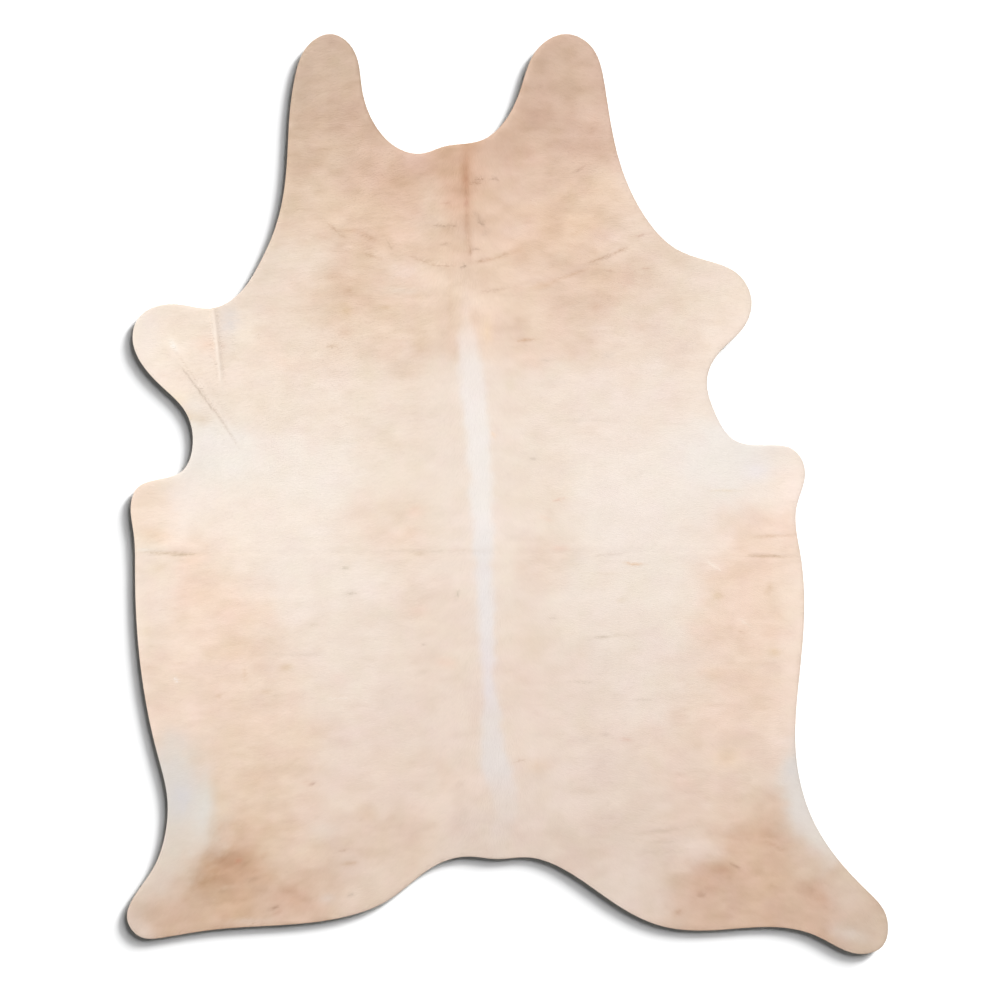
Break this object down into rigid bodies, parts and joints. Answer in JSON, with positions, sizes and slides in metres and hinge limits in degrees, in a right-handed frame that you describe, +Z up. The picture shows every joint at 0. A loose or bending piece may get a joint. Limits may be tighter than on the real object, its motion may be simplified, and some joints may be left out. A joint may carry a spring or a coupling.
{
  "type": "hair-on cowhide rug",
  "caption": "Whole cow hide tanned with its hair on, cut to the animal's outline and laid flat as a floor rug, cream with tan neck and thighs and a pale stripe along the back.",
  "frame": {"origin": "centre of the rug's outline box, on the floor that it lies on", "axes": "+Z up out of the hair side, +Y along the back towards the head, +X across to the animal's right side as it lies hair up"},
  "size_m": [1.9, 2.297, 0.0113],
  "materials": {
    "hair_on_cowhide": "short combed hair, satin"
  },
  "bodies": {
    "root": {"hide": "hair_on_cowhide"}
  },
  "joints": []
}
